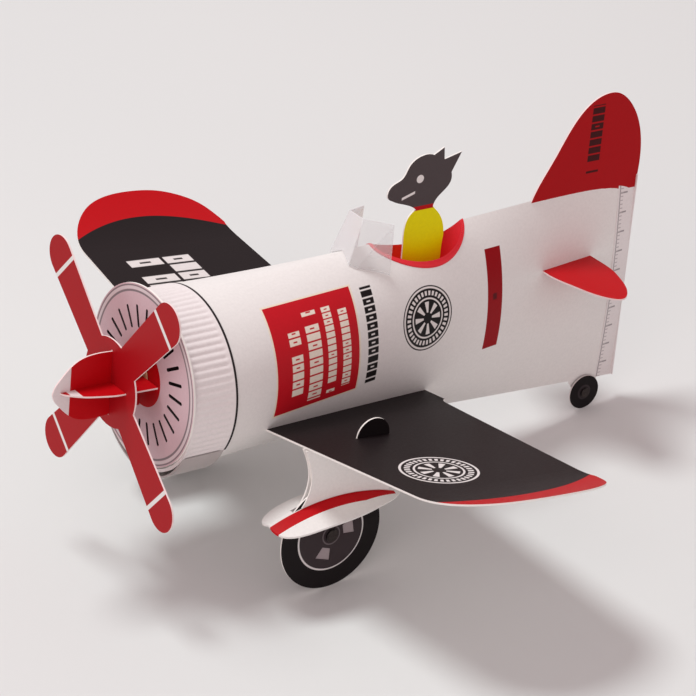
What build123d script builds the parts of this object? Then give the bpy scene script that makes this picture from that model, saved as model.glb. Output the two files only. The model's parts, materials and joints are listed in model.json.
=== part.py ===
"""Die-cut card toy aeroplane, built round a fuselage shaped like a paint tube.

Everything is modelled in the aeroplane's own frame: +X towards the nose, +Y to
the left wing, +Z up, with x = 0 at the joint of cap and tube, on the tube axis.
At the end each piece is tipped nose-up and shifted, so that it stands on its
three wheels on the plane z = 0 with the origin under the middle of its box.
"""
from build123d import *
import math
import os

os.makedirs("parts", exist_ok=True)

# Card stock and fits
CARD = 0.5
THIN_CARD = 0.3
SLOT_PLAY = 0.04
GLUE_GAP = 0.05
TURN_GAP = 0.3
RUNNING_FIT = 0.05

# Fuselage: round at the nose, pressed flat at the tail
TUBE_R = 25.0
TUBE_LENGTH = 155.15
TAIL_HALF_HEIGHT = 33.16
CAVITY_END = 0.955
RIDGE_INSET = 1.6

# Paint-tube cap at the nose
CAP_LENGTH = 15.0
SKIRT_R = 25.3
RIB_COUNT = 78
RIB_DEPTH = 0.3
FACE_R = 25.9
FACE_Z = 2.3
FACE_THICK = 0.6
FACE_SLOTS = 24
FACE_SLOT_INNER_R = 13.4
FACE_SLOT_OUTER_R = 20.0
FACE_SLOT_WIDTH = 1.0
CHIN_DROP = 27.5
CHIN_ANGLE = 34.0

# Propeller, spinner and shaft, all on the axis y = 0, z = FACE_Z
SHAFT_R = 1.0
BEARING_R = 2.0
PROP_X = 25.0
PROP_TIP_R = 44.8
BLADE_ROOT_HALF = 4.5
BLADE_TIP_HALF = 6.0
HUB_R = 13.0
BLADE_ANGLE = 48.0
SPINNER_REAR_X = 15.6
SPINNER_LAP_X = 29.0
SPINNER_TIP_X = 43.9
SPINNER_HALF_HEIGHT = 9.8

# Wing: one card each side, with dihedral, incidence and a curled tip
WING_THICK = 0.6
WING_ROOT_Z = -13.63
WING_INCIDENCE = 0.078
WING_DIHEDRAL = 0.147
WING_CURL = 0.0069
WING_CURL_START = 84.0
WING_ROOT_LE_X = -13.8
WING_TIP_LE_X = -17.8
WING_TIP_TE_X = -72.3
WING_ROOT_TE_X = -77.4
WING_SPAN_HALF = 108.2

# Landing gear
LEG_Y = 37.2
LEG_FRONT_X = -14.2
TAB_X = -37.8
TAB_Z = -10.8
TAB_R = 5.5
WHEEL_X = -25.7
WHEEL_Z = -38.6
WHEEL_R = 16.6
WHEEL_CAP_R = 10.4
PIN_R = 0.8
PIN_HEAD_R = 1.9
FENDER_Y = 37.9
FENDER_X = -27.5
FENDER_TOP_Z = -26.0
FENDER_ARCH_R = 60.0
FENDER_DROOP = 20.0
TAIL_WHEEL_X = -144.5
TAIL_WHEEL_Z = -36.5
TAIL_WHEEL_R = 5.4

# Tail surfaces
STAB_Z = 10.3
STAB_SPAN_HALF = 31.0
CRIMP_FRONT_X = -149.0

# Cockpit and windscreen
COCKPIT_X = -75.0
COCKPIT_HALF_LENGTH = 16.0
COCKPIT_HALF_WIDTH = 6.9
RIM_WIDTH = 0.5
TUB_FLOOR_Z = 13.0

# How the aeroplane stands: the tail wheel and the main wheels on one plane
WHEEL_BASE = WHEEL_X - TAIL_WHEEL_X
WHEEL_RISE = WHEEL_Z - TAIL_WHEEL_Z
STANCE = math.degrees(
    math.asin((WHEEL_R - TAIL_WHEEL_R) / math.hypot(WHEEL_BASE, WHEEL_RISE))
    - math.atan2(WHEEL_RISE, WHEEL_BASE))


# ---------------------------------------------------------------- helpers

def upright(outline, y_low, y_high):
    """Card in a fore-and-aft upright plane; the outline is in (x, z)."""
    face = Plane((0, (y_low + y_high) / 2, 0), x_dir=(1, 0, 0), z_dir=(0, -1, 0)) * outline
    return extrude(face, amount=(y_high - y_low) / 2, both=True)


def across(outline, x_low, x_high):
    """Card square to the tube's axis; the outline is in (y, z)."""
    face = Plane((x_low, 0, 0), x_dir=(0, 1, 0), z_dir=(1, 0, 0)) * outline
    return extrude(face, amount=x_high - x_low)


def level(outline, z_low, z_high):
    """Card lying flat; the outline is in (x, y)."""
    return extrude(Pos(0, 0, z_low) * outline, amount=z_high - z_low)


def block(x_range, y_range, z_range):
    """Plain box between two corners, used for cutting."""
    low = Vector(x_range[0], y_range[0], z_range[0])
    high = Vector(x_range[1], y_range[1], z_range[1])
    mid = (low + high) * 0.5
    size = high - low
    return Pos(mid.X, mid.Y, mid.Z) * Box(size.X, size.Y, size.Z)


def mirrored(shape):
    """The same piece on the right-hand side."""
    return mirror(shape, about=Plane.XZ)


def axle(x_centre, z_centre, radius, y_low, y_high):
    """Round bar along Y."""
    return upright(Pos(x_centre, z_centre) * Circle(radius), y_low, y_high)


def tube_section(t, radius, half_height, tail_half):
    """Tube section at t, from 0 at the cap to 1 at the flat tail, in (y, z)."""
    width = (1 - t) * radius + t * tail_half
    near = []
    for step in range(-8, 9):
        phi = step * math.pi / 16
        rise = (1 - t) * radius * math.sin(phi) + t * half_height * step / 8
        near.append((width * math.cos(phi), rise))
    far = [(-y, z) for y, z in near]
    edges = Spline(*near) + Spline(*far)
    return Pos(-t * TUBE_LENGTH, 0, 0) * (Plane.YZ * make_face(edges))


def tube_solid(grow, t_start=0.0, t_end=1.0):
    """Solid of the tube's outer form, grown outwards by a distance."""
    ends = []
    for t in (t_start, t_end):
        ends.append(tube_section(t, TUBE_R + grow, TAIL_HALF_HEIGHT + grow, CARD + grow))
    return loft(ends, ruled=True)


def cavity_solid(inset, t_start=0.0, t_end=CAVITY_END):
    """Space inside the tube, taken in by an inset from the tube's outer face."""
    ends = []
    for t in (t_start, t_end):
        ends.append(tube_section(t, TUBE_R - inset, TAIL_HALF_HEIGHT - RIDGE_INSET - inset, 0.05))
    return loft(ends, ruled=True)


def wing_height(x, y):
    """Height of the wing's middle surface: flat with dihedral, then curled up at the tip."""
    curl = WING_CURL * max(abs(y) - WING_CURL_START, 0) ** 2
    return WING_ROOT_Z + WING_INCIDENCE * x + WING_DIHEDRAL * abs(y) + curl


def wing_sheet(drop, thickness):
    """Sheet that follows the left wing's surface, lowered by a drop."""
    rear_x = -100
    end_y = 112
    end_slope = WING_DIHEDRAL + 2 * WING_CURL * (end_y - WING_CURL_START)
    tangents = ((1, WING_DIHEDRAL), (1, end_slope))
    root = (0, wing_height(rear_x, 0) - drop + thickness / 2)
    curl = [(y, wing_height(rear_x, y) - drop + thickness / 2) for y in (WING_CURL_START, 93, 102, end_y)]
    root_low = (0, root[1] - thickness)
    curl_low = [(y, z - thickness) for y, z in curl]
    profile = make_face(
        Line(root, curl[0]) + Spline(*curl, tangents=tangents) + Line(curl[-1], curl_low[-1])
        + Spline(*curl_low, tangents=tangents) + Line(curl_low[0], root_low) + Line(root_low, root))
    face = Plane((rear_x, 0, 0), x_dir=(0, 1, 0), z_dir=(1, 0, 0)) * profile
    return extrude(face, amount=-rear_x, dir=(1, 0, WING_INCIDENCE))


pieces = {}
outer_form = tube_solid(0)
cavity = cavity_solid(CARD)

# ---------------------------------------------------------------- wing
# Straight leading edge, rounded tip, and a small flare at the root's rear corner.

wing_outline = make_face(
    Line((WING_ROOT_LE_X, 2), (WING_ROOT_LE_X, 20))
    + Line((WING_ROOT_LE_X, 20), (WING_TIP_LE_X, 84))
    + Spline((WING_TIP_LE_X, 84), (-19.6, 91.5), (-24.6, 99.2), (-31.5, 104.8), (-39, 107.4),
             (-48.5, WING_SPAN_HALF), (-57.5, 107.3), (-65, 104.2), (-70.2, 98.8), (-72.4, 92),
             (WING_TIP_TE_X, 84), tangents=((-0.06, 1), (-0.05, -1)))
    + Line((WING_TIP_TE_X, 84), (-75, 30))
    + Spline((-75, 30), (-75.4, 23), (WING_ROOT_TE_X, 18), tangents=((-0.06, -1), (-1, -0.35)))
    + Line((WING_ROOT_TE_X, 18), (WING_ROOT_TE_X, 2))
    + Line((WING_ROOT_TE_X, 2), (WING_ROOT_LE_X, 2)))
wing_prism = level(wing_outline, -40, 20)
leg_tab_slot = block((TAB_X - TAB_R - 0.1, TAB_X + TAB_R + 0.1), (LEG_Y - 0.27, LEG_Y + 0.27), (-40, 20))
wing_left = wing_sheet(0, WING_THICK) & wing_prism
wing_left = wing_left - leg_tab_slot
pieces["wing_left"] = wing_left
pieces["wing_right"] = mirrored(wing_left)
slot_length = WING_ROOT_LE_X - WING_ROOT_TE_X + 2 * SLOT_PLAY
slot_outline = Pos((WING_ROOT_LE_X + WING_ROOT_TE_X) / 2, 20) * Rectangle(slot_length, 40)
wing_cut = wing_sheet(0, WING_THICK + 2 * SLOT_PLAY) & level(slot_outline, -40, 20)

# Folded card that joins the two wings inside the tube
joiner_drop = WING_THICK / 2 + GLUE_GAP + CARD / 2
joiner_half = wing_sheet(joiner_drop, CARD) & block((-70, -20), (0, 16), (-40, 20))
wing_joiner = (joiner_half + mirrored(joiner_half)) & cavity_solid(CARD + 0.5)
pieces["wing_joiner"] = wing_joiner

# ---------------------------------------------------------------- tail surfaces

fin_outline = make_face(
    Line((-147, 29), (-115.6, 29))
    + Spline((-115.6, 29), (-117.2, 33.2), (-123, 43), (-130, 54.4), (-136.5, 59.9), (-143.8, 60.9),
             (-150.6, 55.6), (-155.0, 45.5), (-155.6, 33.6))
    + Polyline((-155.6, 33.6), (-155.6, 29), (-147, 29)))
fin_full = upright(fin_outline, -CARD / 2, CARD / 2)
fin_tab = block((-147, -121), (-1, 1), (20, 33.2))
crimp_room = block((-160, CRIMP_FRONT_X + GLUE_GAP), (-3, 3), (0, 60))
behind_tube = block((-160, -TUBE_LENGTH), (-3, 3), (0, 33.0 + GLUE_GAP))
fin_rear_clear = (tube_solid(THIN_CARD + GLUE_GAP) & crimp_room) + behind_tube
fin = fin_full - (outer_form - fin_tab) - fin_rear_clear
pieces["fin"] = fin
fin_slot = block((-147.05, -120.95), (-CARD / 2 - SLOT_PLAY, CARD / 2 + SLOT_PLAY), (28.9, 40))

stab_half = make_face(
    Line((-119, 0), (-119, 8))
    + Spline((-119, 8), (-121, 18), (-124.5, 27.5), (-128.5, STAB_SPAN_HALF), (-133, 27.8),
             (-137.5, 18), (-139, 8), tangents=((0, 1), (0, -1)))
    + Line((-139, 8), (-139, 0))
    + Line((-139, 0), (-119, 0)))
stab_outline = stab_half + mirror(stab_half, about=Plane.XZ)
pieces["stabiliser"] = level(stab_outline, STAB_Z - CARD / 2, STAB_Z + CARD / 2)
stab_slot = block((-139 - SLOT_PLAY, -119 + SLOT_PLAY), (-12, 12),
                  (STAB_Z - CARD / 2 - SLOT_PLAY, STAB_Z + CARD / 2 + SLOT_PLAY))

# ---------------------------------------------------------------- cockpit

cockpit_oval = Ellipse(COCKPIT_HALF_LENGTH, COCKPIT_HALF_WIDTH)
cockpit_hole = level(Pos(COCKPIT_X, 0) * cockpit_oval, 10, 60)
rim_oval = Ellipse(COCKPIT_HALF_LENGTH + RIM_WIDTH, COCKPIT_HALF_WIDTH + RIM_WIDTH)
rim_ring = level(Pos(COCKPIT_X, 0) * (rim_oval - cockpit_oval), 10, 60)
pieces["cockpit_rim"] = (tube_solid(THIN_CARD) - outer_form) & rim_ring

tub_outer = Ellipse(COCKPIT_HALF_LENGTH - GLUE_GAP, COCKPIT_HALF_WIDTH - GLUE_GAP)
tub_inner = Ellipse(COCKPIT_HALF_LENGTH - GLUE_GAP - CARD, COCKPIT_HALF_WIDTH - GLUE_GAP - CARD)
tub_block = level(Pos(COCKPIT_X, 0) * tub_outer, TUB_FLOOR_Z - CARD, 60)
tub_space = level(Pos(COCKPIT_X, 0) * tub_inner, TUB_FLOOR_Z, 70)
pieces["cockpit_tub"] = (tub_block - tub_space) & tube_solid(0.1)

# ---------------------------------------------------------------- fuselage tube

tube = outer_form - cavity - cockpit_hole - wing_cut - mirrored(wing_cut) - fin_slot - stab_slot
pieces["fuselage_tube"] = tube

# Strip that backs the glued seam along the belly
seam_zone = block((-112, -12), (-4.5, 4.5), (-60, 0))
pieces["seam_strip"] = (cavity_solid(CARD + GLUE_GAP) - cavity_solid(CARD + GLUE_GAP + CARD)) & seam_zone

# Folded strip that closes the flat tail, with its fold behind
crimp_zone = block((-TUBE_LENGTH - 5, CRIMP_FRONT_X), (-5, 5), (-33.0, 33.0))
crimp_outer = tube_solid(THIN_CARD) + block((-TUBE_LENGTH - THIN_CARD, -TUBE_LENGTH),
                                            (-0.8, 0.8), (-33.0, 33.0))
pieces["tail_crimp_strip"] = (crimp_outer - outer_form) & crimp_zone


# Formers: card bulkheads glued inside the tube
def former(x_mid, lowest):
    slab = block((x_mid - CARD / 2, x_mid + CARD / 2), (-30, 30), (lowest, 40))
    return cavity_solid(CARD + GLUE_GAP) & slab


pieces["mid_former"] = former(-55.0, -14.0)
pieces["rear_former"] = former(-98.0, -40.0) - block((-99, -97), (-5, 5), (-60, -18))

# ---------------------------------------------------------------- cap at the nose

skirt_inner_r = SKIRT_R - 0.9
rib_valley = []
for rib in range(RIB_COUNT):
    angle = 360.0 * rib / RIB_COUNT
    rib_valley.append(Rot(0, 0, angle) * Pos(SKIRT_R + 0.25, 0) * Circle(0.25 + RIB_DEPTH))
skirt_outline = Circle(SKIRT_R) - Circle(skirt_inner_r) - rib_valley
skirt_length = CAP_LENGTH - FACE_THICK - GLUE_GAP
pieces["cap_skirt"] = across(skirt_outline, GLUE_GAP, skirt_length)

# Plain flap under the skirt, where the cap's wrapper is glued
side_y = SKIRT_R * math.cos(math.radians(CHIN_ANGLE))
side_z = -SKIRT_R * math.sin(math.radians(CHIN_ANGLE))
chin_z = (side_y ** 2 + side_z ** 2 - CHIN_DROP ** 2) / (2 * (side_z + CHIN_DROP))
chin_r = CHIN_DROP + chin_z
chin_ring = Pos(0, chin_z) * (Circle(chin_r) - Circle(chin_r - CARD))
chin_outline = chin_ring & (Pos(0, -40) * Rectangle(80, 80 + 2 * side_z))
chin_outline = chin_outline - Circle(SKIRT_R + 0.02)
pieces["cap_chin"] = across(chin_outline, 0.6, skirt_length - 0.4)

# Round face with slots, and a black card behind them
slot = SlotOverall(FACE_SLOT_OUTER_R - FACE_SLOT_INNER_R, FACE_SLOT_WIDTH)
slot = Pos((FACE_SLOT_OUTER_R + FACE_SLOT_INNER_R) / 2, 0) * slot
face_slots = [Rot(0, 0, 360.0 * i / FACE_SLOTS) * slot for i in range(FACE_SLOTS)]
bearing_hole = Circle(BEARING_R + SLOT_PLAY)
face_outline = Pos(0, FACE_Z) * (Circle(FACE_R) - bearing_hole - face_slots)
pieces["cap_face"] = across(face_outline, CAP_LENGTH - FACE_THICK, CAP_LENGTH)
backing_front = CAP_LENGTH - FACE_THICK - GLUE_GAP
backing_outline = Pos(0, FACE_Z) * (Circle(21.5) - bearing_hole)
pieces["face_backing"] = across(backing_outline, backing_front - CARD, backing_front)

# Band that joins the cap to the tube, from inside
coupler_r = skirt_inner_r - GLUE_GAP
coupler_ring = across(Circle(coupler_r) - Circle(coupler_r - CARD),
                      -0.2, backing_front - CARD - GLUE_GAP)
coupler_tail = cavity_solid(CARD + GLUE_GAP) - cavity_solid(2 * CARD + GLUE_GAP)
coupler_tail = coupler_tail & block((-8, 0), (-30, 30), (-30, 30))
coupler_ring = coupler_ring - block((-1, 0), (-30, 30), (-30, 30))
pieces["nose_coupler"] = coupler_ring + coupler_tail
former_outline = Circle(coupler_r - CARD - GLUE_GAP) - Pos(0, FACE_Z) * Circle(SHAFT_R + RUNNING_FIT)
pieces["nose_former"] = across(former_outline, 1.0, 1.0 + 2 * CARD)

# ---------------------------------------------------------------- propeller group

BORE = Circle(SHAFT_R + RUNNING_FIT)
bearing_outline = Circle(BEARING_R) - BORE
flange_outline = Circle(3.4) - BORE
bearing_tube = across(Pos(0, FACE_Z) * bearing_outline, 12.2, CAP_LENGTH - GLUE_GAP)
bearing_flange = across(Pos(0, FACE_Z) * flange_outline, 13.2, backing_front - CARD - 0.02)
pieces["shaft_bearing"] = bearing_tube + bearing_flange

shaft_outline = Pos(0, FACE_Z) * Circle(SHAFT_R)
shaft_front_x = 22.0
pieces["propeller_shaft"] = across(shaft_outline, -2.0, shaft_front_x)
collar_outline = Pos(0, FACE_Z) * (Circle(3.0) - Circle(SHAFT_R))
pieces["shaft_stop"] = across(collar_outline, 11.0, 12.2 - TURN_GAP)
pieces["thrust_washer"] = across(collar_outline, CAP_LENGTH + TURN_GAP - 0.05, SPINNER_REAR_X - 0.02)

blade = make_face(
    Line((0, -BLADE_ROOT_HALF), (PROP_TIP_R - BLADE_TIP_HALF, -BLADE_TIP_HALF))
    + RadiusArc((PROP_TIP_R - BLADE_TIP_HALF, -BLADE_TIP_HALF),
                (PROP_TIP_R - BLADE_TIP_HALF, BLADE_TIP_HALF), -BLADE_TIP_HALF)
    + Line((PROP_TIP_R - BLADE_TIP_HALF, BLADE_TIP_HALF), (0, BLADE_ROOT_HALF))
    + Line((0, BLADE_ROOT_HALF), (0, -BLADE_ROOT_HALF)))
prop_outline = Circle(HUB_R)
for quarter in range(4):
    prop_outline = prop_outline + Rot(0, 0, 90 * quarter + BLADE_ANGLE) * blade
lap_play = CARD + 2 * SLOT_PLAY
cross_slots = Rectangle(lap_play, 2 * SPINNER_HALF_HEIGHT + 0.2) + Rectangle(16.6, lap_play)
prop_outline = Pos(0, FACE_Z) * (prop_outline - cross_slots)
pieces["propeller"] = across(prop_outline, PROP_X, PROP_X + CARD)


def spinner_outline(half_profile, rear_half, tip_x):
    """Bullet-shaped card: the half profile, mirrored about the axis."""
    upper = Line((SPINNER_REAR_X, rear_half), half_profile[0])
    upper = upper + Spline(*half_profile, (tip_x, 0), tangents=((1, 0), (0.25, -1)))
    half = make_face(upper + Line((tip_x, 0), (SPINNER_REAR_X, 0))
                     + Line((SPINNER_REAR_X, 0), (SPINNER_REAR_X, rear_half)))
    return half + mirror(half, about=Plane.XZ)


shaft_room = across(shaft_outline, 0, shaft_front_x)
upright_outline = Pos(0, FACE_Z) * spinner_outline(
    [(29, 9.8), (33, 9.6), (36.2, 8.7), (39.2, 6.6), (42, 3.6)], 8.8, SPINNER_TIP_X)
spinner_vertical = upright(upright_outline, -CARD / 2, CARD / 2)
spinner_vertical = spinner_vertical - block(
    (0, SPINNER_LAP_X), (-1, 1), (FACE_Z - lap_play / 2, FACE_Z + lap_play / 2))
pieces["spinner_vertical"] = spinner_vertical - shaft_room
flat_outline = spinner_outline([(26, 8.1), (32.6, 6.5), (36, 5.2), (39, 3.2)], 8.8, 41.6)
spinner_horizontal = level(flat_outline, FACE_Z - CARD / 2, FACE_Z + CARD / 2)
spinner_horizontal = spinner_horizontal - block(
    (SPINNER_LAP_X, 60), (-lap_play / 2, lap_play / 2), (0, 5))
pieces["spinner_horizontal"] = spinner_horizontal - shaft_room

# ---------------------------------------------------------------- landing gear

leg_low_y = LEG_Y - CARD / 2
leg_high_y = LEG_Y + CARD / 2
wheel_low_y = leg_high_y + TURN_GAP
wheel_high_y = wheel_low_y + CARD
cap_high_y = wheel_high_y + THIN_CARD
cover_low_y = wheel_high_y + TURN_GAP
cover_high_y = cover_low_y + CARD - 0.1


def leg_top(x):
    """Underside of the wing above the leg."""
    return wing_height(x, LEG_Y) - WING_THICK / 2 - 0.1


# Arched leaf of card over each wheel, creased along its middle
arch_z = FENDER_TOP_Z - FENDER_ARCH_R
arch_outer = Pos(FENDER_X, arch_z) * Circle(FENDER_ARCH_R)
arch_inner = Pos(FENDER_X, arch_z) * Circle(FENDER_ARCH_R - CARD)
arch_band = (arch_outer - arch_inner) & (Pos(FENDER_X, FENDER_TOP_Z - 7) * Rectangle(52, 14.2))
droop = math.radians(FENDER_DROOP)
arch_face = Plane((0, FENDER_Y, 0), x_dir=(1, 0, 0), z_dir=(0, -1, 0)) * arch_band
arch_outside = extrude(arch_face, amount=14, dir=(0, math.cos(droop), -math.sin(droop)))
arch_inside = extrude(arch_face, amount=14, dir=(0, -math.cos(droop), -math.sin(droop)))
leaf_half = [(-6.6, 6.0), (-11, 8.1), (-17, 9.0), (-24, 9.2), (-31.7, 8.2), (-38, 6.3), (-44, 3.8)]
leaf_front = (-4.4, 1.8)
leaf_rear = (-49.0, 0)
leaf_edge = Line((-4.4, 0), leaf_front) + Spline(leaf_front, *leaf_half, leaf_rear)
leaf = make_face(leaf_edge + Line(leaf_rear, (-4.4, 0)))
leaf = leaf + mirror(leaf, about=Plane.XZ)
fender_full = (arch_outside + arch_inside) & level(Pos(0, FENDER_Y) * leaf, -60, 0)
fender_slot = block((-39.2, -11.8), (leg_low_y - SLOT_PLAY, cover_low_y - 0.02), (-40, 0))
fender = fender_full - fender_slot
pieces["fender_left"] = fender
pieces["fender_right"] = mirrored(fender)


def leg_upper(y_low, y_high, front_x):
    """Leg card from the wing's underside down to the fender."""
    outline = make_face(
        Line((LEG_FRONT_X, leg_top(LEG_FRONT_X)), (-52, leg_top(-52)))
        + Spline((-52, leg_top(-52)), (-46, -20.5), (-44, -30), tangents=((0.75, -1), (0, -1)))
        + Line((-44, -30), (front_x, -30))
        + Spline((front_x, -30), (-16.9, -21.6), (LEG_FRONT_X, leg_top(LEG_FRONT_X)),
                 tangents=((-0.7, 0.7), (0.5, 1))))
    card = upright(outline, y_low, y_high)
    under = upright(Pos(FENDER_X, arch_z) * Circle(FENDER_ARCH_R - 0.01), y_low - 1, y_high + 1)
    return card - under


strut_outline = make_face(Polyline((-31, -20), (-21, -20), (-21.7, WHEEL_Z), (-29.7, WHEEL_Z), (-31, -20)))
strut_outline = strut_outline + Pos(WHEEL_X, WHEEL_Z) * Circle(4.0)
strut = upright(strut_outline, leg_low_y, leg_high_y)
tab_outline = (Pos(TAB_X, TAB_Z) * Circle(TAB_R)) & (Pos(TAB_X, TAB_Z + 1) * Rectangle(2 * TAB_R, 9))
tab = upright(tab_outline, leg_low_y, leg_high_y)
pin_hole = axle(WHEEL_X, WHEEL_Z, PIN_R, 30, 45)
leg = leg_upper(leg_low_y, leg_high_y, -12.3) + strut + tab - pin_hole
cover = leg_upper(cover_low_y, cover_high_y, -12.3)
cover = cover - level(Pos(0, FENDER_Y) * leaf, -60, FENDER_TOP_Z - 7)
spacer_outline = make_face(
    Line((LEG_FRONT_X - 0.8, leg_top(LEG_FRONT_X) - 0.1), (-50, leg_top(-50) - 0.1))
    + Line((-50, leg_top(-50) - 0.1), (-45.5, -20.8))
    + Line((-45.5, -20.8), (-18, -20.8))
    + Line((-18, -20.8), (LEG_FRONT_X - 0.8, leg_top(LEG_FRONT_X) - 0.1)))
spacer = upright(spacer_outline, leg_high_y + 0.02, cover_low_y - 0.02)
pieces["leg_left"] = leg
pieces["leg_right"] = mirrored(leg)
pieces["leg_cover_left"] = cover - fender_full
pieces["leg_cover_right"] = mirrored(pieces["leg_cover_left"])
pieces["leg_spacer_left"] = spacer
pieces["leg_spacer_right"] = mirrored(spacer)

# Wheels: a plain disc and a smaller hub disc with three windows
wheel_bore = Pos(WHEEL_X, WHEEL_Z) * Circle(PIN_R + RUNNING_FIT)
wheel_disc = Pos(WHEEL_X, WHEEL_Z) * Circle(WHEEL_R) - wheel_bore
window = make_face(Polyline((-2.6, -7.6), (2.6, -7.6), (1.5, -4.0), (-1.5, -4.0), (-2.6, -7.6)))
windows = [Pos(WHEEL_X, WHEEL_Z) * Rot(0, 0, angle) * window for angle in (18, 138, 258)]
hub_disc = Pos(WHEEL_X, WHEEL_Z) * Circle(WHEEL_CAP_R) - wheel_bore - windows
wheel = upright(wheel_disc, wheel_low_y, wheel_high_y)
wheel_cap = upright(hub_disc, wheel_high_y, cap_high_y)
pin_shank = axle(WHEEL_X, WHEEL_Z, PIN_R, leg_low_y - 0.4, cap_high_y + TURN_GAP)
pin_head = axle(WHEEL_X, WHEEL_Z, PIN_HEAD_R, cap_high_y + TURN_GAP, cap_high_y + TURN_GAP + 0.4)
pin_foot = axle(WHEEL_X, WHEEL_Z, PIN_HEAD_R, leg_low_y - 0.4, leg_low_y)
pieces["wheel_left"] = wheel
pieces["wheel_right"] = mirrored(wheel)
pieces["wheel_cap_left"] = wheel_cap
pieces["wheel_cap_right"] = mirrored(wheel_cap)
pieces["axle_pin_left"] = pin_shank + pin_head + pin_foot
pieces["axle_pin_right"] = mirrored(pieces["axle_pin_left"])

# Tail wheel on the left face of a small bracket under the tail
bracket_outline = make_face(
    Polyline((-149.5, -30), (-149.5, -33.5), (-146.6, -37.8), (-142.4, -37.8), (-139.0, -33),
             (-139.0, -30), (-149.5, -30)))
bracket = upright(bracket_outline, -CARD / 2, CARD / 2) - outer_form
bracket = bracket - block((-160, CRIMP_FRONT_X + 0.05), (-3, 3), (-33.1, 0))
bracket = bracket - axle(TAIL_WHEEL_X, TAIL_WHEEL_Z, PIN_R, -2, 2)
tail_wheel_low_y = CARD / 2 + 0.55
tail_wheel_high_y = tail_wheel_low_y + CARD
tail_wheel_outline = Circle(TAIL_WHEEL_R) - Circle(PIN_R + RUNNING_FIT)
pieces["tail_wheel_bracket"] = bracket
pieces["tail_wheel"] = upright(
    Pos(TAIL_WHEEL_X, TAIL_WHEEL_Z) * tail_wheel_outline, tail_wheel_low_y, tail_wheel_high_y)
tail_head_y = tail_wheel_high_y + TURN_GAP
tail_pin = axle(TAIL_WHEEL_X, TAIL_WHEEL_Z, PIN_R, -CARD / 2 - 0.4, tail_head_y)
tail_head = axle(TAIL_WHEEL_X, TAIL_WHEEL_Z, 1.5, tail_head_y, tail_head_y + 0.4)
tail_foot = axle(TAIL_WHEEL_X, TAIL_WHEEL_Z, 1.5, -CARD / 2 - 0.4, -CARD / 2)
pieces["tail_axle_pin"] = tail_pin + tail_head + tail_foot

# ---------------------------------------------------------------- pilot and windscreen
# A flat dog-shaped card that stands on a folded foot in the cockpit.

head_outline = make_face(
    Spline((-74, 36), (-71.6, 37.6), (-68.4, 38.8), (-65.2, 40.2))
    + Spline((-65.2, 40.2), (-63.4, 42.2), (-64.4, 44.6), (-68.2, 46.6), (-70.4, 50.2),
             (-74.4, 52.6), (-78.6, 52.2))
    + Polyline((-78.6, 52.2), (-82.0, 54.0), (-82.4, 50.2), (-88.4, 51.6), (-85.4, 45.8))
    + Spline((-85.4, 45.8), (-84.6, 41.6), (-81.2, 38.6), (-79.9, 36))
    + Line((-79.9, 36), (-74, 36)))
body_outline = make_face(
    Line((-79.9, 36.1), (-74, 36.1))
    + Spline((-74, 36.1), (-71.2, 33.4), (-70.4, 28.6), (-70.6, 20), tangents=((0.9, -0.5), (0, -1)))
    + Line((-70.6, 20), (-70.6, TUB_FLOOR_Z + 0.05))
    + Line((-70.6, TUB_FLOOR_Z + 0.05), (-84.4, TUB_FLOOR_Z + 0.05))
    + Line((-84.4, TUB_FLOOR_Z + 0.05), (-84.4, 22))
    + Spline((-84.4, 22), (-84.7, 27), (-83.2, 32.2), (-79.9, 36.1), tangents=((0, 1), (0.7, 0.7))))
pieces["pilot"] = upright(head_outline + body_outline, -CARD / 2, CARD / 2)
foot_floor = block((-83, -72), (CARD / 2 + 0.02, 3.2), (TUB_FLOOR_Z + 0.02, TUB_FLOOR_Z + 0.02 + CARD))
foot_wall = block((-83, -72), (CARD / 2 + 0.02, CARD + CARD / 2), (TUB_FLOOR_Z + 0.02, TUB_FLOOR_Z + 4))
pieces["pilot_foot"] = foot_floor + foot_wall


def screen_panel(points):
    """Flat panel of clear sheet through three or four points."""
    face = Face(Wire.make_polygon([Vector(*p) for p in points], close=True))
    return extrude(face, amount=THIN_CARD / 2, both=True)


brow_left = (-53.4, 3.4, 38.2)
brow_right = (-53.4, -3.4, 38.2)
foot_left = (-46.6, 5.2, 20)
foot_right = (-46.6, -5.2, 20)
rear_top_left = (-61.2, 7.4, 36.6)
rear_foot_left = (-60.4, 8.6, 15)
front_panel = screen_panel([foot_left, brow_left, brow_right, foot_right])
side_upper = screen_panel([foot_left, brow_left, rear_top_left])
side_lower = screen_panel([foot_left, rear_top_left, rear_foot_left])
side = side_upper + side_lower
windshield = front_panel + side + mirrored(side)
pieces["windshield"] = windshield - tube_solid(THIN_CARD + 0.03)

# ---------------------------------------------------------------- stance and export

GROUND = Rot(0, -STANCE, 0)
tipped = {name: GROUND * shape for name, shape in pieces.items()}
boxes = [shape.bounding_box() for shape in tipped.values()]
SHIFT_X = -(min(b.min.X for b in boxes) + max(b.max.X for b in boxes)) / 2
SHIFT_Z = -min(b.min.Z for b in boxes)


def placed(shape):
    """Tip a shape nose-up and move it over the origin."""
    return Pos(SHIFT_X, 0, SHIFT_Z) * GROUND * shape


for name, shape in pieces.items():
    export_step(placed(shape), f"parts/{name}.step")

print(f"stance {STANCE:.3f} deg, shift x {SHIFT_X:.3f}, shift z {SHIFT_Z:.3f}")
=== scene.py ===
import json
import math

import bpy
from mathutils import Matrix, Vector


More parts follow.
